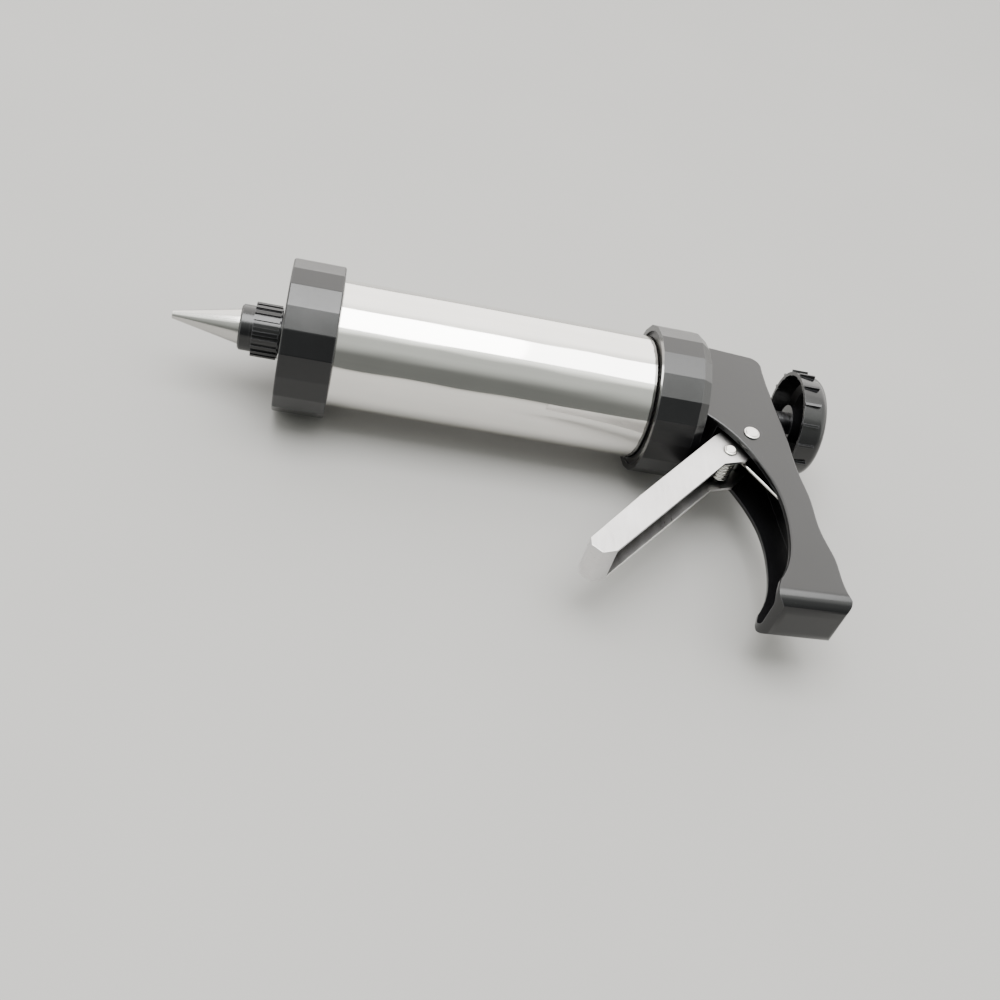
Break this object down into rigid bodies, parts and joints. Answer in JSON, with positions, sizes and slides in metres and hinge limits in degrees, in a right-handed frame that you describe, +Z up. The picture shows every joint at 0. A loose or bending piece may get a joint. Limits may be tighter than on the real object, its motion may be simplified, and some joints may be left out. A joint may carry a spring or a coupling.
{
  "type": "cookie press",
  "caption": "Trigger-operated cookie press: tubular barrel with faceted rings, nozzle on a screw-on cap, toothed plunger rod with knob, and a pistol grip with a sprung lever.",
  "frame": {"origin": "on the surface the press lies on, under the middle of the rear collar's lowest facet", "axes": "+X along the barrel from the nozzle towards the knob; -Y towards the end of the handle; +Z up, across the flat sides of the handle"},
  "size_m": [0.2917, 0.1519, 0.0662],
  "materials": {
    "polished_steel": "mirror-polished stainless tube",
    "gloss_black": "glossy moulded black plastic",
    "black_plastic": "satin black plastic",
    "tip_steel": "polished sheet steel",
    "rod_steel": "satin steel",
    "brushed_sheet": "satin stainless sheet",
    "rivet_steel": "polished rivet steel",
    "spring_steel": "bright drawn wire",
    "white_nylon": "natural nylon",
    "seal_silicone": "silicone"
  },
  "bodies": {
    "frame": {"barrel_tube": "polished_steel", "barrel_front_thread": "black_plastic", "barrel_rear_sleeve": "black_plastic", "handle_body": "gloss_black", "front_rod_bush": "white_nylon", "rear_rod_bush": "white_nylon", "trigger_pivot_rivet": "rivet_steel", "pivot_washers": "white_nylon", "holding_leaf": "spring_steel", "holding_leaf_screw": "rod_steel"},
    "plunger": {"piston": "black_plastic", "piston_seal": "seal_silicone", "piston_washer": "rod_steel"},
    "rod": {"plunger_rod": "rod_steel", "piston_screw": "rod_steel", "knob": "gloss_black", "knob_screw": "rod_steel"},
    "trigger": {"trigger": "brushed_sheet", "spring_rivet": "rivet_steel", "torsion_spring": "spring_steel", "drive_pawl_pin": "rivet_steel", "drive_pawl_spring": "spring_steel"},
    "drive_pawl": {"drive_pawl": "rod_steel"},
    "nozzle_plate": {"nozzle_plate": "black_plastic"},
    "ring_cap": {"front_ring_cap": "gloss_black"},
    "filling_tip": {"filling_tip": "tip_steel"},
    "nozzle_nut": {"nozzle_nut": "gloss_black"}
  },
  "joints": [
    {"name": "plunger_slide", "type": "slide", "parent": "frame", "child": "plunger", "axis": [1, 0, 0], "range_m": [0, 0.15]},
    {"name": "rod_turn", "type": "hinge", "parent": "plunger", "child": "rod", "pos_m": [0, 0, 0.03309], "axis": [1, 0, 0], "range_deg": [0, 180]},
    {"name": "trigger_squeeze", "type": "hinge", "parent": "frame", "child": "trigger", "pos_m": [0.035, -0.0262, 0.03309], "axis": [0, 0, 1], "range_deg": [0, 35], "stiffness_Nm_per_rad": 0.5, "springref_deg": -20.05, "deforming": ["torsion_spring"]},
    {"name": "drive_pawl_swing", "type": "hinge", "parent": "trigger", "child": "drive_pawl", "pos_m": [0.0375, -0.01827, 0.03309], "axis": [0, 0, 1], "range_deg": [-35, 0]},
    {"name": "plate_off", "type": "slide", "parent": "frame", "child": "nozzle_plate", "axis": [-1, 0, 0], "range_m": [0, 0.016]},
    {"name": "cap_unscrew", "type": "hinge", "parent": "nozzle_plate", "child": "ring_cap", "pos_m": [-0.16, 0, 0.03309], "axis": [-1, 0, 0], "range_deg": [0, 360]},
    {"name": "tip_off", "type": "slide", "parent": "nozzle_plate", "child": "filling_tip", "axis": [-1, 0, 0], "range_m": [0, 0.0125]},
    {"name": "nut_unscrew", "type": "hinge", "parent": "filling_tip", "child": "nozzle_nut", "pos_m": [-0.18, 0, 0.03309], "axis": [-1, 0, 0], "range_deg": [0, 900]}
  ],
  "couplings": [
    {"joint": "drive_pawl_swing", "follows": "trigger_squeeze", "ratio": -1},
    {"joint": "plate_off", "follows": "cap_unscrew", "m_per_rad": 0.0025464},
    {"joint": "tip_off", "follows": "nut_unscrew", "m_per_rad": 0.00079577}
  ]
}
